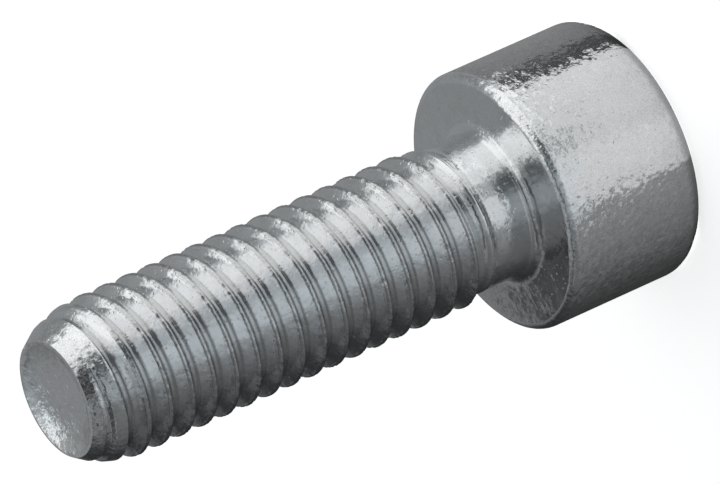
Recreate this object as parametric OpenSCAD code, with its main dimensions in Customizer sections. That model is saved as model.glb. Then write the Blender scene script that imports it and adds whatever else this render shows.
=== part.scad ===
// Cylinder head screw with a hexagon socket and a rolled right-hand thread.
// The axis of the screw is Z. It stands on the top of its head, at Z = 0, and its tip points up.

/* [Head] */
// Diameter of the head
head_d = 12.95; // [12:0.05:14]
// Height of the head, from its top to the bearing face
head_h = 7.7; // [7:0.1:9]
// Rounding of the edge round the top of the head
top_round = 0.8; // [0.3:0.05:1.2]
// Rounding of the rim round the bearing face
rim_round = 0.45; // [0.2:0.05:0.8]

/* [Socket] */
// Hexagon socket, across the flats
socket_af = 6.05; // [5:0.05:6.5]
// Depth of the straight walls of the socket
socket_depth = 4.4; // [3:0.1:4.8]
// Diameter of the countersink at the mouth of the socket
mouth_d = 7.3; // [7:0.05:7.8]
// Full angle of that countersink
mouth_angle = 90; // [60:5:120]
// Full angle of the conical bottom of the socket
bottom_angle = 120; // [100:5:150]

/* [Shank] */
// Length from the bearing face to the tip
shank_len = 25; // [16:0.5:40]
// Diameter of the plain neck, which is the blank that the thread is rolled on
neck_d = 7.2; // [6.8:0.05:7.6]
// Length of the neck and its fillet, from the bearing face to the end of the thread
neck_len = 2.15; // [1.5:0.05:6]
// Diameter of the fillet where it meets the bearing face
fillet_d = 8.7; // [8:0.1:10]
// Length of the fillet along the neck
fillet_len = 0.45; // [0.2:0.05:1]

/* [Thread] */
// Diameter over the crests
thread_d = 7.88; // [7.7:0.01:8]
// Diameter at the roots
root_d = 6.47; // [6.4:0.01:6.8]
// Pitch
pitch = 1.25; // [1.2:0.01:1.4]
// Angle between the two flanks
thread_angle = 60; // [50:1:62]
// Length over which the thread runs out into the neck
run_out = 1.5; // [0.8:0.1:2.5]
// Angle round the axis at which the thread leaves the neck
thread_turn = 201.6; // [0:0.1:360]

/* [Tip] */
// Diameter of the flat ring at the end of the tip
tip_d = 5.85; // [5.6:0.05:6.2]
// Diameter of the chamfer where the thread starts on it
chamfer_d = 6.9; // [6.3:0.1:7.2]
// Length of that chamfer
chamfer_len = 0.8; // [0.2:0.05:1.2]
// Length over which the crests then rise to their full height
start_len = 2.2; // [1:0.1:4]
// Diameter of the dish in the end of the tip
dish_d = 5.5; // [3:0.1:5.5]
// Depth of the dish
dish_depth = 0.3; // [0.1:0.05:0.6]

/* [Hidden] */
// Width of the crest, as a share of the pitch
crest_share = 0.125;
// Height that the rounding takes off the edges of the crest, as a share of the thread's depth
crest_drop_share = 0.07;
// Height that the rounding adds at the edges of the root, as a share of the thread's depth
root_rise_share = 0.09;
// How far the foot of the thread reaches into the neck, as a share of the pitch
foot_share = 0.4;
// How far each cut reaches past the face that it opens
overrun = 0.5;
// Points along a rounded edge
round_steps = 7;
// Steps of the thread in one turn
turn_steps = 36;
// Rings of the dish, from its rim to its centre
dish_rings = 8;
// How flat the middle of the dish is: 2 is a plain bowl
dish_power = 4;
// Steps of a full circle
circle_steps = 96;

head_r = head_d / 2;
neck_r = neck_d / 2;
fillet_r = fillet_d / 2;
thread_r = thread_d / 2;
root_r = root_d / 2;
tip_r = tip_d / 2;
chamfer_r = chamfer_d / 2;
dish_r = dish_d / 2;
mouth_r = mouth_d / 2;

// Heights along the axis
neck_end = head_h + neck_len;
tip_z = head_h + shank_len;
thread_len = tip_z - neck_end;

// Profile of the thread over one pitch, from the middle of a crest to the next
thread_depth = thread_r - root_r;
flank_tan = tan(thread_angle / 2);
crest_w = pitch * crest_share;
root_w = pitch - crest_w - 2 * thread_depth * flank_tan;
crest_drop = thread_depth * crest_drop_share;
root_rise = thread_depth * root_rise_share;
crest_edge = crest_w / 2 + crest_drop * flank_tan;
root_edge = root_w / 2 + root_rise * flank_tan;
row_places = [
    0,
    crest_edge,
    pitch / 2 - root_edge,
    pitch / 2,
    pitch / 2 + root_edge,
    pitch - crest_edge
];
row_radii = [
    thread_r,
    thread_r - crest_drop,
    root_r + root_rise,
    root_r,
    root_r + root_rise,
    thread_r - crest_drop
];
turn_rows = len(row_places);
last_row = turn_rows * (ceil(thread_len / pitch) + 1);

// The foot of the thread lies just inside the round neck
foot_r = neck_r * cos(180 / turn_steps);

// Points of a quarter of an ellipse round a centre, from one angle to another
function arc(centre, radii, from, to) = [
    for (k = [0 : round_steps])
        let (a = from + (to - from) * k / round_steps)
            [centre.x + radii.x * cos(a), centre.y + radii.y * sin(a)]
];

// Height of a row of the thread at a step round the axis, kept between the neck and the tip
function row_z(row, step) =
    let (turn = floor(row / turn_rows) - 1 + step / turn_steps)
        min(tip_z, max(neck_end, neck_end + turn * pitch + row_places[row % turn_rows]));

// How far the thread has risen out of the neck at a height, from none to all
function risen(z) =
    let (part = min(1, (z - neck_end) / run_out))
        (1 - cos(180 * part)) / 2;

// Radius that the chamfer and the rising crests allow at a distance from the tip
function tip_limit(depth) =
    depth < chamfer_len
        ? tip_r + (chamfer_r - tip_r) * depth / chamfer_len
        : chamfer_r + (thread_r - chamfer_r) * sin(90 * min(1, (depth - chamfer_len) / start_len));

function row_r(row, z) =
    min(foot_r + (row_radii[row % turn_rows] - foot_r) * risen(z), tip_limit(tip_z - z));

function polar(r, step, z) = [r * cos(360 * step / turn_steps), r * sin(360 * step / turn_steps), z];

function ring(r, z) = [for (step = [0 : turn_steps - 1]) polar(r, step, z)];

// The dish is a shallow bowl with a flat middle, one ring for each step from its rim inwards
function dish_ring(k) =
    let (out = 1 - k / dish_rings)
        ring(dish_r * out, tip_z - dish_depth * (1 - pow(out, dish_power)));

// Rings from the foot of the thread to the last ring of the dish, one after the other
thread_points = concat(
    [[0, 0, neck_end - pitch * foot_share]],
    ring(root_r, neck_end - pitch * foot_share),
    [
        for (row = [0 : last_row], step = [0 : turn_steps - 1])
            let (z = row_z(row, step)) polar(row_r(row, z), step, z)
    ],
    [for (k = [0 : dish_rings - 1]) each dish_ring(k)],
    [[0, 0, tip_z - dish_depth]]
);
first_thread_ring = 1;
last_thread_ring = first_thread_ring + last_row;
last_ring = last_thread_ring + dish_rings;
end_point = len(thread_points) - 1;

// Number of a point on a ring. A row of the thread goes on one turn higher after its last step.
function point(r, step) =
    let (next = step == turn_steps && r >= first_thread_ring && r < last_thread_ring ? turn_rows : 0)
        1 + min(r + next, max(r, last_thread_ring)) * turn_steps + step % turn_steps;

function whole(face) =
    let (p = [for (k = face) thread_points[k]])
        p[0] != p[1] && p[1] != p[2] && p[2] != p[0];

// Two triangles for each field between two rings, without those that have no area
thread_fields = [
    for (r = [0 : last_ring - 1], step = [0 : turn_steps - 1])
        let (a = point(r, step), b = point(r, step + 1), c = point(r + 1, step + 1), d = point(r + 1, step))
            each [[a, c, b], [a, d, c]]
];
thread_faces = concat(
    [for (step = [0 : turn_steps - 1]) [0, point(0, step), point(0, step + 1)]],
    [for (face = thread_fields) if (whole(face)) face],
    [for (step = [0 : turn_steps - 1]) [end_point, point(last_ring, step + 1), point(last_ring, step)]]
);

// Half section of the head, the fillet and the neck
head_outline = concat(
    [[0, 0]],
    arc([head_r - top_round, top_round], [top_round, top_round], -90, 0),
    arc([head_r - rim_round, head_h - rim_round], [rim_round, rim_round], 0, 90),
    arc([fillet_r, head_h + fillet_len], [fillet_r - neck_r, fillet_len], 270, 180),
    [[neck_r, neck_end], [0, neck_end]]
);

module head() {
    rotate_extrude($fn = circle_steps) polygon(head_outline);
}

module socket() {
    mouth_depth = mouth_r / tan(mouth_angle / 2);
    bottom_depth = socket_af / 2 / tan(bottom_angle / 2);
    translate([0, 0, -overrun])
        cylinder(h = socket_depth + overrun, d = socket_af / cos(30), $fn = 6);
    cylinder(h = mouth_depth, r1 = mouth_r, r2 = 0, $fn = circle_steps);
    translate([0, 0, socket_depth])
        cylinder(h = bottom_depth, d1 = socket_af, d2 = 0, $fn = circle_steps);
}

module thread() {
    polyhedron(points = thread_points, faces = thread_faces, convexity = 10);
}

module screw() {
    color([0.76, 0.77, 0.79]) {
        difference() {
            union() {
                head();
                rotate([0, 0, thread_turn]) thread();
            }
            socket();
        }
    }
}

screw();
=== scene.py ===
"""Zinc-plated cylinder head screw, standing on its head, seen from the side of its tip."""

import math

import bmesh
import bpy
import numpy as np
from mathutils import Matrix, Vector

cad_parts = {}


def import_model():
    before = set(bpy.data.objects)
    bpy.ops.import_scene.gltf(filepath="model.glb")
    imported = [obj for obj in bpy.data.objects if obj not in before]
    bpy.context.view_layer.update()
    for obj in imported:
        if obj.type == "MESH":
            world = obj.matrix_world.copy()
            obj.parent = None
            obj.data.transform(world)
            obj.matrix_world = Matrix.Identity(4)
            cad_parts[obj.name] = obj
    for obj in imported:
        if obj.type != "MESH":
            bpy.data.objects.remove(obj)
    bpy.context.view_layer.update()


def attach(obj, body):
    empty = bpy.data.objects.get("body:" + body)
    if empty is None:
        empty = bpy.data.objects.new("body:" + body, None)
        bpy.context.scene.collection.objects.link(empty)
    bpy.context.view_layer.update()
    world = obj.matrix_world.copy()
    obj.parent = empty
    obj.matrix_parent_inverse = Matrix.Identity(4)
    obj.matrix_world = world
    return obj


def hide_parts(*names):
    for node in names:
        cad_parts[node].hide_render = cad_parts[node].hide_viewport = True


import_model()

MM = 0.001
TURN = 2 * math.pi

# Sizes of the screw in millimetres, as in the part's source
HEAD_R = 12.95 / 2
HEAD_H = 7.7
TOP_ROUND = 0.8
RIM_ROUND = 0.45
SOCKET_R = 6.05 / 2
SOCKET_DEPTH = 4.4
SOCKET_BOTTOM_ANGLE = 120
MOUTH_R = 7.3 / 2
SHANK_LEN = 25.0
NECK_R = 7.2 / 2
NECK_LEN = 2.15
FILLET_R = 8.7 / 2
FILLET_LEN = 0.45
THREAD_R = 7.88 / 2
ROOT_R = 6.47 / 2
PITCH = 1.25
THREAD_ANGLE = 60
THREAD_TURN = 201.6
RUN_OUT = 1.5
TIP_R = 5.85 / 2
CHAMFER_R = 6.9 / 2
CHAMFER_LEN = 0.8
START_LEN = 2.2
DISH_R = 5.5 / 2
DISH_DEPTH = 0.3
DISH_POWER = 4
NECK_END = HEAD_H + NECK_LEN
TIP_Z = HEAD_H + SHANK_LEN

# The thread's profile: the crest's width as a share of the pitch, and how much of the thread's
# depth the rounding of crest and root takes
CREST_SHARE = 0.125
CREST_DROP_SHARE = 0.07
CREST_POWER = 4
ROOT_RISE_SHARE = 0.09
ROOT_POWER = 4

# The seam that rolling leaves beside the crest: places as shares of the crest, and depths
SEAM = ((0.3, 0.0), (0.5, 0.004), (0.66, 0.012), (0.82, 0.004))

# Small dents along the crests: a seed, the deepest dent, the share left unmarked and how deep
# below the crest a point may lie and still be dented
NICK_SEED = 11
NICK_DEPTH = 0.035
NICK_FREE = 0.72
CREST_BAND = 0.06

# Fineness of the mesh
COLUMNS = 168
SOCKET_BOTTOM_SHARES = (0.02, 0.35, 0.7, 1.0)
SOCKET_WALL_ROWS = 5
TOP_STEPS = 3
SIDE_STEPS = 8
FACE_STEPS = 4
NECK_STEPS = 4
ROUND_STEPS = 8
FILLET_STEPS = 14
CREST_STEPS = 5
FLANK_STEPS = 4
ROOT_STEPS = 4
DISH_STEPS = 16
JOIN_GAP = 1e-4
SHARP_ANGLE = 40
ANGLES = TURN * np.arange(COLUMNS) / COLUMNS


def quarter(centre_r, centre_z, size_r, size_z, start, end, steps):
    """Points (radius, height) along an elliptical arc, angles in degrees."""
    a = np.radians(np.linspace(start, end, steps + 1))
    return [(centre_r + size_r * math.cos(k), centre_z + size_z * math.sin(k)) for k in a]


def between(start, end, steps):
    """Points that part a straight line into equal steps, without its two ends."""
    (r0, z0), (r1, z1) = start, end
    return [(r0 + (r1 - r0) * k / steps, z0 + (z1 - z0) * k / steps) for k in range(1, steps)]


def round_ring(radius, height):
    """One ring of points about the axis, as radii and heights."""
    return np.full(COLUMNS, radius), np.full(COLUMNS, height)


def hexagon_radius():
    """Distance from the axis to the socket's walls at each angle; a corner lies on +X."""
    sixth = TURN / 6
    from_flat = (ANGLES % sixth) - sixth / 2
    return SOCKET_R / np.cos(from_flat)


def socket_bottom(radius):
    """Height of the socket's conical bottom at a distance from the axis."""
    return SOCKET_DEPTH + (SOCKET_R - radius) / math.tan(math.radians(SOCKET_BOTTOM_ANGLE / 2))


def socket_rings():
    """From the middle of the socket's bottom out to its mouth."""
    rings = []
    for share in SOCKET_BOTTOM_SHARES:
        rings.append(round_ring(SOCKET_R * share, socket_bottom(SOCKET_R * share)))
    walls = hexagon_radius()
    straight_top = MOUTH_R - SOCKET_R
    for depth in np.linspace(SOCKET_DEPTH, straight_top, SOCKET_WALL_ROWS):
        rings.append((walls.copy(), np.full(COLUMNS, depth)))
    for depth in np.linspace(straight_top, 0, ROUND_STEPS)[1:]:
        rings.append((np.maximum(walls, MOUTH_R - depth), np.full(COLUMNS, depth)))
    return rings


def head_rings():
    """From the mouth of the socket over the head and its fillet to the end of the neck."""
    top_inner = HEAD_R - TOP_ROUND
    side_high = HEAD_H - RIM_ROUND
    rim_inner = HEAD_R - RIM_ROUND
    fillet_end = HEAD_H + FILLET_LEN
    outline = between((MOUTH_R, 0.0), (top_inner, 0.0), TOP_STEPS)
    outline += quarter(top_inner, TOP_ROUND, TOP_ROUND, TOP_ROUND, -90, 0, ROUND_STEPS)
    outline += between((HEAD_R, TOP_ROUND), (HEAD_R, side_high), SIDE_STEPS)
    outline += quarter(rim_inner, side_high, RIM_ROUND, RIM_ROUND, 0, 90, ROUND_STEPS)
    outline += between((rim_inner, HEAD_H), (FILLET_R, HEAD_H), FACE_STEPS)
    outline += quarter(
        FILLET_R, fillet_end, FILLET_R - NECK_R, FILLET_LEN, 270, 180, FILLET_STEPS
    )
    outline += between((NECK_R, fillet_end), (NECK_R, NECK_END), NECK_STEPS)
    return [round_ring(r, z) for r, z in outline]


def thread_profile():
    """Places along one pitch, from the middle of a crest, and the radius at each."""
    depth = THREAD_R - ROOT_R
    flank_tan = math.tan(math.radians(THREAD_ANGLE / 2))
    crest_w = PITCH * CREST_SHARE
    root_w = PITCH - crest_w - 2 * depth * flank_tan
    crest_drop = depth * CREST_DROP_SHARE
    root_rise = depth * ROOT_RISE_SHARE
    crest_edge = crest_w / 2 + crest_drop * flank_tan
    root_edge = root_w / 2 + root_rise * flank_tan

    def on_crest(x, cut=0.0):
        return crest_edge * x, THREAD_R - crest_drop * x**CREST_POWER - cut

    crest = [on_crest(x) for x in np.linspace(0, 1, CREST_STEPS + 1)]
    seam = [on_crest(x, cut) for x, cut in SEAM]
    low = (PITCH / 2 - root_edge, ROOT_R + root_rise)
    flank = [crest[-1]] + between(crest[-1], low, FLANK_STEPS) + [low]
    root = [(PITCH / 2 - root_edge * x, ROOT_R + root_rise * x**ROOT_POWER)
            for x in np.linspace(1, 0, ROOT_STEPS + 1)]
    tip_side = crest[:1] + seam + flank + root[1:]
    head_side = root[-2::-1] + flank[-2::-1] + crest[-2:0:-1]
    return tip_side + [(PITCH - place, radius) for place, radius in head_side]


def tip_limit(depth):
    """Radius that the chamfer and the rising crests allow at a distance from the tip."""
    chamfer = TIP_R + (CHAMFER_R - TIP_R) * depth / CHAMFER_LEN
    rise = np.clip((depth - CHAMFER_LEN) / START_LEN, 0, 1)
    rising = CHAMFER_R + (THREAD_R - CHAMFER_R) * np.sin(rise * math.pi / 2)
    return np.where(depth < CHAMFER_LEN, chamfer, rising)


def crest_nicks(turns):
    """Depth of the small dents along the crest, one after another up the helix."""
    chance = np.random.default_rng(NICK_SEED).random(turns * COLUMNS + COLUMNS)
    return NICK_DEPTH * np.clip((chance - NICK_FREE) / (1 - NICK_FREE), 0, 1)


def thread_rings():
    """Rows of the thread along its helix, held between the neck and the tip."""
    profile = thread_profile()
    turns = math.ceil((TIP_Z - NECK_END) / PITCH) + 1
    nicks = crest_nicks(turns + 1)
    shift = PITCH * (ANGLES / TURN - THREAD_TURN / 360)
    rings = []
    for row in range(len(profile) * turns + 1):
        turn, k = divmod(row, len(profile))
        place, radius = profile[k]
        height = NECK_END + (turn - 1) * PITCH + place + shift
        height = np.clip(height, NECK_END, TIP_Z)
        risen = np.clip((height - NECK_END) / RUN_OUT, 0, 1)
        risen = (1 - np.cos(risen * math.pi)) / 2
        grown = NECK_R + (radius - NECK_R) * risen
        if radius > THREAD_R - CREST_BAND:
            crest_turn = turn if place < PITCH / 2 else turn + 1
            grown = grown - nicks[crest_turn * COLUMNS:(crest_turn + 1) * COLUMNS] * risen
        rings.append((np.minimum(grown, tip_limit(TIP_Z - height)), height))
    return rings, len(profile)


def dish_rings():
    """From the rim of the dish to its middle."""
    rings = []
    for k in range(DISH_STEPS):
        out = 1 - k / DISH_STEPS
        rings.append(round_ring(DISH_R * out, TIP_Z - DISH_DEPTH * (1 - out**DISH_POWER)))
    return rings


def screw_mesh():
    """The whole screw as one closed mesh, ring after ring from the socket to the dish."""
    before = socket_rings() + head_rings()
    thread, turn_rows = thread_rings()
    rings = before + thread + dish_rings()
    first = len(before)
    last = len(before) + len(thread) - 1
    end = len(rings) - 1
    radii = np.array([r for r, z in rings])
    heights = np.array([z for r, z in rings])
    points = np.stack([radii * np.cos(ANGLES), radii * np.sin(ANGLES), heights], axis=2)
    points = points.reshape(-1, 3)

    def index(ring, column):
        """A row of the thread goes on one turn higher after its last column."""
        if column == COLUMNS and first <= ring <= last:
            ring = min(ring + turn_rows, last)
        return ring * COLUMNS + column % COLUMNS

    faces = []
    for ring in range(end):
        for column in range(COLUMNS):
            faces.append((
                index(ring, column),
                index(ring, column + 1),
                index(ring + 1, column + 1),
                index(ring + 1, column),
            ))
    socket_middle = len(points)
    dish_middle = socket_middle + 1
    for column in range(COLUMNS):
        faces.append((socket_middle, index(0, column + 1), index(0, column)))
        faces.append((dish_middle, index(end, column), index(end, column + 1)))
    middles = [(0, 0, socket_bottom(0)), (0, 0, TIP_Z - DISH_DEPTH)]
    points = np.vstack([points, middles]) * MM
    mesh = bpy.data.meshes.new("screw_body")
    mesh.from_pydata(points.tolist(), [], faces)
    return mesh


def clean(mesh):
    """Joins the points that the ends of the thread share and turns the faces outwards."""
    bm = bmesh.new()
    bm.from_mesh(mesh)
    bmesh.ops.remove_doubles(bm, verts=bm.verts, dist=JOIN_GAP * MM)
    bmesh.ops.dissolve_degenerate(bm, edges=bm.edges, dist=JOIN_GAP * MM)
    bmesh.ops.recalc_face_normals(bm, faces=bm.faces)
    for face in bm.faces:
        face.smooth = True
    bm.to_mesh(mesh)
    bm.free()
    mesh.set_sharp_from_angle(angle=math.radians(SHARP_ANGLE))


class Nodes:
    """A short way to write a node tree."""

    def __init__(self, tree):
        self.tree = tree
        tree.nodes.clear()

    def add(self, kind, inputs=None, **settings):
        node = self.tree.nodes.new(kind)
        for name, value in settings.items():
            setattr(node, name, value)
        for name, value in (inputs or {}).items():
            socket = node.inputs[name]
            if isinstance(value, bpy.types.NodeSocket):
                self.tree.links.new(value, socket)
            else:
                socket.default_value = value
        return node

    def math(self, operation, a, b):
        return self.add("ShaderNodeMath", {0: a, 1: b}, operation=operation).outputs[0]

    def times(self, a, b):
        return self.math("MULTIPLY", a, b)

    def larger(self, a, b):
        return self.math("MAXIMUM", a, b)

    def vector(self, operation, inputs):
        return self.add("ShaderNodeVectorMath", inputs, operation=operation).outputs

    def ramp(self, value, low, high, to_low=0.0, to_high=1.0):
        """Takes a value from one range to another and holds it there."""
        return self.add("ShaderNodeMapRange", {
            "Value": value, "From Min": low, "From Max": high, "To Min": to_low, "To Max": to_high,
        }).outputs[0]

    def noise(self, place, scale, detail, roughness):
        return self.add("ShaderNodeTexNoise", {
            "Vector": place, "Scale": scale, "Detail": detail, "Roughness": roughness,
        }).outputs["Fac"]

    def cells(self, place, scale, reach, choice):
        """Dots in some of the cells of a Voronoi pattern."""
        found = self.add("ShaderNodeTexVoronoi", {"Vector": place, "Scale": scale}).outputs
        chance = self.add("ShaderNodeSeparateColor", {0: found["Color"]}).outputs[0]
        return self.times(self.ramp(found["Distance"], *reach), self.ramp(chance, *choice))

    def raised(self, height, depth_mm, normal):
        return self.add("ShaderNodeBump", {
            "Strength": 1.0, "Distance": depth_mm * MM, "Height": height, "Normal": normal,
        }).outputs[0]


# Patterns of the zinc plating. A noise has a scale per millimetre, a detail and a roughness.
# Heights and depths are in millimetres
WAVE = (1.2, 1.0, 0.5)
WAVE_HEIGHT = 0.025
PEEL = (3.4, 1.0, 0.5)
PEEL_HEIGHT = 0.032
GRAIN = (13.0, 2.0, 0.6)
GRAIN_HEIGHT = 0.004
LUMPS = (2.6, 3.0, 0.55)
LUMP_HEIGHT = 0.03
PATCHES = (0.7, 3.0, 0.6)
DULL_SPOTS = (5.0, 4.0, 0.7)
SMUDGES = (1.3, 5.0, 0.65)
CRYSTALS = (15.0, 1.0, 0.5)

# Facets: cells per millimetre and how far each leans
FACET_SCALE = 4.6
FACET_TILT = 0.13

# Pits and hairlines: cells, how near its middle a cell is marked, and which cells are
PIT_SCALE = 4.2
PIT_REACH = (0.30, 0.08)
PIT_CHOICE = (0.55, 0.6)
PIT_DEPTH = 0.008
HAIR_STRETCH = (0.9, 7.0, 7.0)
HAIR_REACH = (0.22, 0.10)
HAIR_CHOICE = (0.86, 0.88)
HAIR_DEPTH = 0.006
HAIR_WAYS = (((0.3, 0.5, 0.9), 3.0), ((1.1, -0.4, 2.3), 8.0))

# Where each zone begins and is full, in heights and distances from the axis
END_Z = (TIP_Z - 0.9, TIP_Z - 0.85)
END_R = (TIP_R, TIP_R - 0.12)
ROLLED_LOW_Z = (NECK_END, NECK_END + 0.6)
ROLLED_HIGH_Z = (TIP_Z - 1.2, TIP_Z - 2.0)
ROLLED_R = (THREAD_R - 0.05, THREAD_R - 0.15)
UNDER_HEAD_LOW_Z = (HEAD_H - 0.1, HEAD_H - 0.02)
UNDER_HEAD_HIGH_Z = (NECK_END + 0.6, NECK_END)
THREAD_LOW_Z = (NECK_END + 0.3, NECK_END + 1.0)
ROOT_HIGH_Z = (TIP_Z - 1.1, TIP_Z - 1.6)
CREST_ZONE_R = (THREAD_R - 0.10, THREAD_R - 0.04)
ROOT_ZONE_R = (ROOT_R + 0.12, ROOT_R + 0.04)

# How much of the relief is left where the metal was rolled or formed smooth, and how far the
# cut end counts as smooth
SMOOTH_RELIEF = 0.35
END_SMOOTH = 0.7

# Colour and gloss: ranges of a noise, each with the range that it is taken to
BRIGHT_ZINC = (0.84, 0.845, 0.855, 1.0)
DULL_ZINC = (0.40, 0.41, 0.43, 1.0)
DULL_RANGE = (0.64, 0.74)
DULL_SHARE = 0.6
DULL_HAIR = 0.5
DULL_ROUGHNESS = 0.15
SMUDGE_RANGE = (0.3, 0.7, 0.95, 1.03)
CRYSTAL_RANGE = (0.25, 0.75, -0.13, 0.13)
ROUGHNESS_RANGE = (0.35, 0.65, 0.11, 0.19)
# Painted shade: crests and roots are darkened to these shares of their colour
PAINTED_CREST_SHADE = 0.70
PAINTED_ROOT_SHADE = 0.66


def hairlines(n, place, turn, seed):
    """Short hairlines that all run one way."""
    stretched = n.add("ShaderNodeMapping", {
        "Vector": place, "Location": (seed,) * 3, "Rotation": turn, "Scale": HAIR_STRETCH,
    }).outputs[0]
    return n.cells(stretched, 1.0, HAIR_REACH, HAIR_CHOICE)


def faceted_normal(n, place, relief):
    """The surface's normal, leaning another way in each small facet."""
    facet = n.add("ShaderNodeTexVoronoi", {"Vector": place, "Scale": FACET_SCALE}).outputs["Color"]
    lean = n.vector("SUBTRACT", {0: facet, 1: (0.5,) * 3})[0]
    lean = n.vector("SCALE", {0: lean, "Scale": n.times(relief, FACET_TILT)})[0]
    facing = n.add("ShaderNodeNewGeometry").outputs["Normal"]
    return n.vector("NORMALIZE", {0: n.vector("ADD", {0: facing, 1: lean})[0]})[0]


def zinc_material():
    """Zinc plating: bright metal with small facets, a slight waviness, a fine grain, pits,
    hairline scratches and dull spots. Thread, neck and bearing face are smoother. Crests
    and roots are darkened with painted shade. The cut end of the tip has lumps of its own."""
    material = bpy.data.materials.new("zinc_plated_steel")
    material.use_nodes = True
    n = Nodes(material.node_tree)
    place = n.add("ShaderNodeTexCoord").outputs["Object"]
    place = n.vector("MULTIPLY", {0: place, 1: (1 / MM,) * 3})[0]
    x, y, z = n.add("ShaderNodeSeparateXYZ", {0: place}).outputs
    flat = n.add("ShaderNodeCombineXYZ", {0: x, 1: y}).outputs[0]
    radius = n.vector("LENGTH", {0: flat})["Value"]

    on_end = n.times(n.ramp(z, *END_Z), n.ramp(radius, *END_R))
    rolled = n.times(n.ramp(z, *ROLLED_LOW_Z), n.ramp(radius, *ROLLED_R))
    rolled = n.times(rolled, n.ramp(z, *ROLLED_HIGH_Z))
    under_head = n.times(n.ramp(z, *UNDER_HEAD_LOW_Z), n.ramp(z, *UNDER_HEAD_HIGH_Z))
    on_crest = n.times(n.ramp(z, *THREAD_LOW_Z), n.ramp(radius, *CREST_ZONE_R))
    in_root = n.times(n.ramp(z, *THREAD_LOW_Z), n.ramp(radius, *ROOT_ZONE_R))
    in_root = n.times(in_root, n.ramp(z, *ROOT_HIGH_Z))
    smooth = n.larger(n.larger(rolled, under_head), n.times(on_end, END_SMOOTH))
    relief = n.ramp(smooth, 0.0, 1.0, 1.0, SMOOTH_RELIEF)

    pits = n.cells(place, PIT_SCALE, PIT_REACH, PIT_CHOICE)
    hairs = n.larger(*[hairlines(n, place, turn, seed) for turn, seed in HAIR_WAYS])
    normal = faceted_normal(n, place, relief)
    normal = n.raised(n.noise(place, *WAVE), WAVE_HEIGHT, normal)
    normal = n.raised(n.times(n.noise(place, *PEEL), relief), PEEL_HEIGHT, normal)
    normal = n.raised(n.times(n.noise(place, *GRAIN), relief), GRAIN_HEIGHT, normal)
    normal = n.raised(pits, -PIT_DEPTH, normal)
    normal = n.raised(hairs, -HAIR_DEPTH, normal)
    normal = n.raised(n.times(n.noise(place, *LUMPS), on_end), LUMP_HEIGHT, normal)

    dull = n.ramp(n.noise(place, *DULL_SPOTS), *DULL_RANGE)
    dull = n.larger(dull, n.times(hairs, DULL_HAIR))
    colour = n.add("ShaderNodeMix", {
        "Factor": n.times(dull, DULL_SHARE), 6: BRIGHT_ZINC, 7: DULL_ZINC,
    }, data_type="RGBA").outputs[2]
    # Painted shade on crests and roots, times smudges of random tone
    painted_shade_and_smudges = n.ramp(on_crest, 0.0, 1.0, 1.0, PAINTED_CREST_SHADE)
    painted_shade_and_smudges = n.times(painted_shade_and_smudges, n.ramp(in_root, 0.0, 1.0, 1.0, PAINTED_ROOT_SHADE))
    painted_shade_and_smudges = n.times(painted_shade_and_smudges, n.ramp(n.noise(place, *SMUDGES), *SMUDGE_RANGE))
    crystals = n.times(n.ramp(n.noise(place, *CRYSTALS), *CRYSTAL_RANGE), relief)
    colour = n.vector("MULTIPLY", {0: colour, 1: n.math("ADD", crystals, painted_shade_and_smudges)})[0]
    rough = n.ramp(n.noise(place, *PATCHES), *ROUGHNESS_RANGE)
    rough = n.math("ADD", rough, n.times(dull, DULL_ROUGHNESS))
    shader = n.add("ShaderNodeBsdfPrincipled", {
        "Base Color": colour, "Metallic": 1.0, "Roughness": rough, "Normal": normal,
    })
    n.add("ShaderNodeOutputMaterial", {"Surface": shader.outputs[0]})
    return material


# The camera, in millimetres and pixels: the angle between the screw's axis and the view, how far
# the axis rises in the picture, and where a point on the axis lies
IMAGE_WIDTH = 720
VIEW_ANGLE = 62.17
AXIS_RISE = 24.11
CAMERA_AZIMUTH = 70.2
CAMERA_DISTANCE = 581.0
PIXELS_PER_MM = 21.437
AIM_HEIGHT = TIP_Z - 16.0
AIM_RIGHT = -1.084
AIM_UP = -1.445
SENSOR_WIDTH = 36.0
CLIP_NEAR = 0.01
CLIP_FAR = 20.0

# Colours of the light: the bright side is nearly neutral, the fill and the gaps are cool
WARM = (0.985, 1.0, 0.995)
COOL = (0.91, 1.0, 1.04)
GREY = (0.96, 1.0, 1.02)
PAPER = (0.985, 1.0, 1.005)

LIGHT_TURN = math.radians(CAMERA_AZIMUTH - 90)


def lit(along, across, height):
    """A place given towards the camera, across it and upwards, in metres in the scene."""
    c, s = math.cos(LIGHT_TURN), math.sin(LIGHT_TURN)
    return (along * c - across * s) * MM, (along * s + across * c) * MM, height * MM


def around(angle, radius, height):
    """A place given by its angle about the axis, from the camera's side."""
    a = math.radians(angle)
    return lit(radius * math.cos(a), radius * math.sin(a), height)


def tint(level, colour):
    """Light of a level and a colour."""
    return level * colour[0], level * colour[1], level * colour[2], 1.0


def glow_material(name):
    """A card that shines with the colours painted on its mesh."""
    material = bpy.data.materials.new(name)
    material.use_nodes = True
    n = Nodes(material.node_tree)
    paint = n.add("ShaderNodeAttribute", attribute_name="glow")
    shine = n.add("ShaderNodeEmission", {"Color": paint.outputs["Color"], "Strength": 1.0})
    n.add("ShaderNodeOutputMaterial", {"Surface": shine.outputs[0]})
    return material


def card(name, rows, lights_floor=False):
    """A grid of places, each with its light, that is seen only in reflections."""
    columns = len(rows[0])
    places = [place for row in rows for place, light in row]
    lights = [light for row in rows for place, light in row]
    faces = []
    for row in range(len(rows) - 1):
        for column in range(columns - 1):
            corner = row * columns + column
            faces.append((corner, corner + 1, corner + columns + 1, corner + columns))
    mesh = bpy.data.meshes.new(name)
    mesh.from_pydata(places, [], faces)
    paint = mesh.color_attributes.new("glow", "FLOAT_COLOR", "POINT")
    paint.data.foreach_set("color", np.array(lights, np.float32).ravel())
    mesh.materials.append(glow_material(name))
    piece = bpy.data.objects.new(name, mesh)
    bpy.context.collection.objects.link(piece)
    piece.visible_camera = False
    piece.visible_shadow = False
    piece.visible_diffuse = lights_floor


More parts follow.
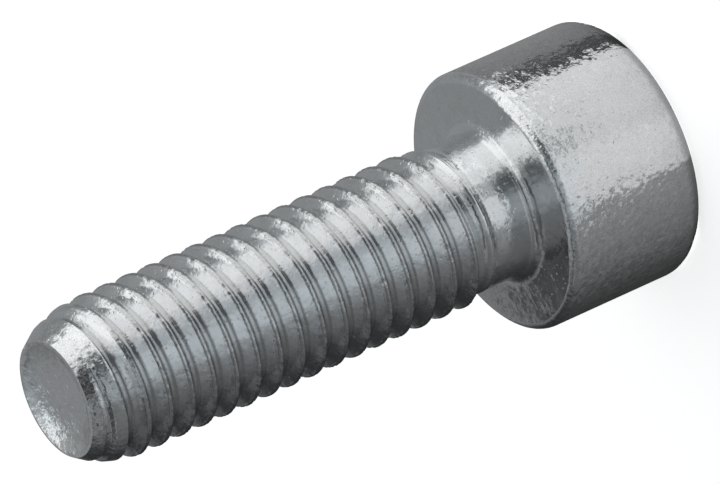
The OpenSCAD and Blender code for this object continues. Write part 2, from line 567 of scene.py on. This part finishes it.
# Light on the mat close to the head, by the angle on the head's side where it shows
MAT_STOPS = (
    (-90, 0.04), (-75, 0.04), (-62, 0.07), (-50, 0.13), (-40, 0.18), (-28, 0.23), (-19, 0.27),
    (-16, 0.61), (-5, 0.68), (3, 0.71), (7, 0.62), (11, 0.65), (25, 0.69), (36, 0.74),
    (43, 0.74), (44, 0.06), (52, 0.07), (55, 0.18), (60, 0.21), (75, 0.25), (90, 0.25),
)

# Light on the ring of the mat that the neck shows, by the angle on the head's side
NECK_STOPS = (
    (-66, 0.05), (-43, 0.17), (-22.5, 0.26), (-21, 0.68), (-8.5, 0.72), (5, 0.72), (6.5, 0.12),
    (19, 0.12), (21, 0.78), (38, 0.84), (55, 0.87), (58, 0.12), (69, 0.18),
)

# Light on the floor farther out and on the wall's foot, middle and top, by the angle about the
# axis from the camera's side
WALL_STOPS = (
    (-180, 0.16, 0.16, 0.16, 0.26, GREY), (-175, 0.09, 0.09, 0.18, 0.24, GREY),
    (-166, 0.05, 0.05, 0.16, 0.20, GREY), (-154, 0.02, 0.02, 0.03, 0.08, GREY),
    (-125, 0.05, 0.05, 0.05, 0.12, GREY), (-100, 0.11, 0.11, 0.12, 0.23, GREY),
    (-75, 0.18, 0.16, 0.13, 0.21, GREY), (-50, 0.29, 0.22, 0.15, 0.22, GREY),
    (-39, 0.42, 0.30, 0.22, 0.26, COOL), (-28, 0.55, 0.40, 0.30, 0.28, COOL),
    (-12, 0.62, 0.42, 0.30, 0.28, COOL), (0, 0.62, 0.36, 0.27, 0.25, COOL),
    (11, 0.48, 0.10, 0.10, 0.20, COOL), (24, 0.46, 0.08, 0.08, 0.22, COOL),
    (34, 0.62, 0.12, 0.12, 0.36, GREY), (45, 0.78, 0.74, 0.70, 0.64, WARM),
    (60, 0.93, 0.94, 0.92, 0.86, WARM), (84, 0.98, 1.02, 0.98, 0.92, WARM),
    (93, 0.82, 0.98, 0.96, 0.92, WARM), (99, 0.45, 0.45, 0.90, 0.92, GREY),
    (105, 0.34, 0.25, 0.40, 0.92, GREY), (115, 0.28, 0.20, 0.27, 0.90, GREY),
    (125, 0.26, 0.20, 0.23, 0.62, GREY), (132, 0.26, 0.22, 0.20, 0.26, GREY),
    (142, 0.27, 0.26, 0.24, 0.28, GREY), (170, 0.25, 0.25, 0.25, 0.33, GREY),
    (180, 0.16, 0.16, 0.16, 0.26, GREY),
)
GROUND, FOOT, MIDDLE, TOP = 1, 2, 3, 4
WALL_GAIN = 1.08

# How far from the head each ring of the floor lies, for the mat with a share of its light. The shares
# dim the mat next to the head as a painted contact shadow
MAT_RINGS = ((-1.5, 0.34), (0.0, 0.50), (1.2, 0.90), (4.0, 1.0), (14.0, 1.0))
NECK_RINGS = (14.2, 16.4)
FLOOR_RINGS = (16.8, 45.0, 74.0)
MAT_HEIGHT = 0.03

# The wall's distance and heights, with the angles between which its rim is higher
WALL_RADIUS = 75.0
WALL_MIDDLE = 58.0
WALL_TOP = 82.0
WALL_RIM = 94.0
WALL_RIM_HIGH = 118.0
HIGH_ANGLES = (40, 126)


def level_at(stops, angle, kind=1):
    """Level at an angle, between the stops beside it."""
    return float(np.interp(angle, [s[0] for s in stops], [s[kind] for s in stops]))


def colour_at(angle):
    """Colour of the wall at an angle."""
    angles = [s[0] for s in WALL_STOPS]
    return [float(np.interp(angle, angles, [s[-1][k] for s in WALL_STOPS])) for k in range(3)]


def tent_line(angle):
    """Distances, heights and lights along one line of the tent, from the head up the wall."""
    way = 2 * angle
    colour = colour_at(way)
    mat = level_at(MAT_STOPS, angle)
    neck = tint(level_at(NECK_STOPS, angle), GREY)
    ground = tint(WALL_GAIN * level_at(WALL_STOPS, way, GROUND), colour)
    # The mat's light dims next to the head: a painted contact shadow
    line = [(far, MAT_HEIGHT, tint(mat * share, PAPER)) for far, share in MAT_RINGS]
    line += [(far, MAT_HEIGHT, neck) for far in NECK_RINGS]
    line += [(far, MAT_HEIGHT, ground) for far in FLOOR_RINGS]
    rim = WALL_RIM_HIGH if HIGH_ANGLES[0] < way < HIGH_ANGLES[1] else WALL_RIM
    wall = ((FOOT, MAT_HEIGHT), (MIDDLE, WALL_MIDDLE), (TOP, WALL_TOP), (TOP, rim))
    for kind, height in wall:
        level = WALL_GAIN * level_at(WALL_STOPS, way, kind)
        line.append((WALL_RADIUS, height, tint(level, colour)))
    return line


def tent():
    """A mat round the head and a wall round the screw. The lines of the mat run the way the
    head's side reflects, so that an edge shows straight on it."""
    angles = {s[0] for s in MAT_STOPS} | {s[0] for s in NECK_STOPS}
    angles = sorted(angles | {s[0] / 2 for s in WALL_STOPS})
    rows = []
    for angle in angles:
        a = math.radians(angle)
        row = []
        for far, height, light in tent_line(angle):
            along = HEAD_R * math.cos(a) + far * math.cos(2 * a)
            across = HEAD_R * math.sin(a) + far * math.sin(2 * a)
            row.append((lit(along, across, height), light))
        rows.append(row)
    card("tent", rows)


# Light on the strip that closes the tent behind the head, by shares of the head's radius across
STRIP_STOPS = ((-1.0, 0.05), (-0.5, 0.34), (0.0, 0.60), (0.5, 0.50), (1.0, 0.25))
STRIP_GAP = 0.05
STRIP_TOP = 30.0


def tent_strip():
    """The mat and the wall's foot behind the head, with a soft highlight down the middle."""
    rows = []
    for share, level in STRIP_STOPS:
        start = -HEAD_R * math.sqrt(1 - share**2) - STRIP_GAP
        line = ((start, MAT_HEIGHT), (-WALL_RADIUS, MAT_HEIGHT), (-WALL_RADIUS, STRIP_TOP))
        light = tint(level, GREY)
        rows.append([(lit(along, share * HEAD_R, height), light) for along, height in line])
    card("tent_strip", rows)


# The dark gap: angles with levels, and distances with heights
GAP_STOPS = ((-16, 0.29), (-10, 0.26), (30, 0.26), (37, 0.29))
GAP_SPAN = ((WALL_RADIUS, WALL_TOP), (34.0, 150.0))


def dark_gap():
    """The dark shape of the camera's side, above the wall and under the scrim."""
    rows = []
    for angle, level in GAP_STOPS:
        light = tint(level, COOL)
        rows.append([(around(angle, radius, height), light) for radius, height in GAP_SPAN])
    card("dark_gap", rows)


# The card behind the screw: heights, with the levels on its dark side and on its light side
BACK_STOPS = (
    (9.0, 0.20, 0.25), (15.7, 0.19, 0.25), (16.7, 0.13, 0.24), (17.4, 0.045, 0.24),
    (26.0, 0.07, 0.24),
)
BACK_PLACE = -18.0
BACK_DARK = (-8.5, -2.0)
BACK_LIGHT = (2.0, 8.5)


def back_card():
    """The card that the bearing face shows beside the neck."""
    rows = []
    for height, dark, light in BACK_STOPS:
        stops = [(across, dark) for across in BACK_DARK]
        stops += [(across, light) for across in BACK_LIGHT]
        rows.append([(lit(BACK_PLACE, across, height), tint(level, GREY)) for across, level in stops])
    card("back_card", rows)


# The dark card in front of the tip: angles with levels, and distances with heights
SHADE_STOPS = (
    (-28, 0.20), (-20, 0.03), (-10, 0.04), (-5, 0.14), (0, 0.04), (14, 0.03), (24, 0.20),
)
SHADE_SPAN = ((46.0, TIP_Z + 26.0), (46.0, TIP_Z + 60.0))


def tip_shade():
    """The dark card that the chamfer shows."""
    rows = []
    for angle, level in SHADE_STOPS:
        light = tint(level, GREY)
        rows.append([(around(angle, radius, height), light) for radius, height in SHADE_SPAN])
    card("tip_shade", rows)


# The scrim: places across it as shares of its height, with the levels over the screw and far
# behind it; places along it with how far its bright side fades there
SCRIM_STOPS = (
    (-0.45, 0.19, 0.14, GREY), (-0.20, 0.31, 0.24, COOL), (0.0, 0.37, 0.26, COOL),
    (0.08, 0.46, 0.62, COOL), (0.16, 0.70, 1.15, GREY), (0.26, 0.94, 0.72, WARM),
    (0.36, 1.00, 0.36, WARM), (0.95, 1.02, 0.36, WARM),
)
SCRIM_FAR = (-1.2, -0.80)
SCRIM_FADE = ((-0.62, 1.0), (-0.06, 1.0), (0.06, 0.85), (0.20, 0.75), (0.45, 0.48))
SCRIM_BRIGHT = 0.1
SCRIM_HEIGHT = 300.0
SCRIM_GAIN = 1.06


def scrim():
    """A sheet over the tip, which fades towards the camera."""
    rows = []
    for across, level, far_level, colour in SCRIM_STOPS:
        line = [(along, far_level) for along in SCRIM_FAR]
        for along, fade in SCRIM_FADE:
            line.append((along, level * fade if across > SCRIM_BRIGHT else level))
        rows.append([(
            lit(along * SCRIM_HEIGHT, across * SCRIM_HEIGHT, SCRIM_HEIGHT),
            tint(level_here * SCRIM_GAIN, colour),
        ) for along, level_here in line])
    card("scrim", rows, lights_floor=True)


# The floor, in metres apart from its drop below the screw
FLOOR_HALF = 4.0
FLOOR_DROP = 0.01
FLOOR_GLOW = 0.74
FLOOR_COLOUR = (0.9, 0.9, 0.9, 1.0)
WHITE = (1.0, 1.0, 1.0, 1.0)


def floor():
    """A white floor that keeps the screw's shadow and shows white in the metal too."""
    material = bpy.data.materials.new("floor")
    material.use_nodes = True
    n = Nodes(material.node_tree)
    rays = n.add("ShaderNodeLightPath").outputs
    seen = n.larger(rays["Is Camera Ray"], rays["Is Glossy Ray"])
    seen = n.larger(seen, rays["Is Transmission Ray"])
    paper = n.add("ShaderNodeBsdfDiffuse", {"Color": FLOOR_COLOUR})
    glow = n.add("ShaderNodeEmission", {"Color": WHITE, "Strength": n.times(seen, FLOOR_GLOW)})
    both = n.add("ShaderNodeAddShader", {0: paper.outputs[0], 1: glow.outputs[0]})
    n.add("ShaderNodeOutputMaterial", {"Surface": both.outputs[0]})
    corners = ((-1, -1), (1, -1), (1, 1), (-1, 1))
    places = [(x * FLOOR_HALF, y * FLOOR_HALF, -FLOOR_DROP * MM) for x, y in corners]
    mesh = bpy.data.meshes.new("floor")
    mesh.from_pydata(places, [], [(0, 1, 2, 3)])
    mesh.materials.append(material)
    piece = bpy.data.objects.new("floor", mesh)
    bpy.context.collection.objects.link(piece)


# The room: its colour, and its levels of light from the dark side to the light side
ROOM_COLOUR = (0.97, 1.0, 1.03, 1.0)
ROOM_RANGE = (-0.6, -0.1, 0.06, 0.25)


def world():
    """A dim room, darker on the side away from the light."""
    sky = bpy.data.worlds.new("room")
    bpy.context.scene.world = sky
    sky.use_nodes = True
    n = Nodes(sky.node_tree)
    way = n.add("ShaderNodeTexCoord").outputs["Generated"]
    side = (-math.sin(LIGHT_TURN), math.cos(LIGHT_TURN), 0.0)
    across = n.vector("DOT_PRODUCT", {0: way, 1: side})["Value"]
    level = n.ramp(across, *ROOM_RANGE)
    air = n.add("ShaderNodeBackground", {"Color": ROOM_COLOUR, "Strength": level})
    n.add("ShaderNodeOutputWorld", {"Surface": air.outputs[0]})


def camera():
    """A camera that sees the screw's axis slanting, as in the photograph."""
    azimuth = math.radians(CAMERA_AZIMUTH)
    elevation = math.radians(90 - VIEW_ANGLE)
    rise = math.radians(AXIS_RISE)
    back = Vector((
        math.sin(azimuth) * math.cos(elevation),
        -math.cos(azimuth) * math.cos(elevation),
        math.sin(elevation),
    ))
    tip_way = (Vector((0, 0, 1)) - back * back.z).normalized()
    side_way = tip_way.cross(back)
    right = -math.cos(rise) * tip_way - math.sin(rise) * side_way
    up = -math.sin(rise) * tip_way + math.cos(rise) * side_way
    lens = bpy.data.cameras.new("camera")
    lens.sensor_width = SENSOR_WIDTH
    lens.lens = PIXELS_PER_MM * CAMERA_DISTANCE / IMAGE_WIDTH * SENSOR_WIDTH
    lens.clip_start = CLIP_NEAR
    lens.clip_end = CLIP_FAR
    aim = Vector((0, 0, AIM_HEIGHT))
    place = aim - right * AIM_RIGHT - up * AIM_UP + back * CAMERA_DISTANCE
    turn = Matrix((right, up, back)).transposed().to_4x4()
    eye = bpy.data.objects.new("camera", lens)
    eye.matrix_world = Matrix.Translation(place * MM) @ turn
    bpy.context.collection.objects.link(eye)
    bpy.context.scene.camera = eye


body_mesh = screw_mesh()
clean(body_mesh)
body_mesh.materials.append(zinc_material())
body = bpy.data.objects.new("screw_body", body_mesh)
bpy.context.collection.objects.link(body)
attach(body, "root")
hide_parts("screw")

floor()
tent()
tent_strip()
dark_gap()
back_card()
tip_shade()
scrim()
world()
camera()

bpy.context.scene.view_settings.view_transform = "Standard"
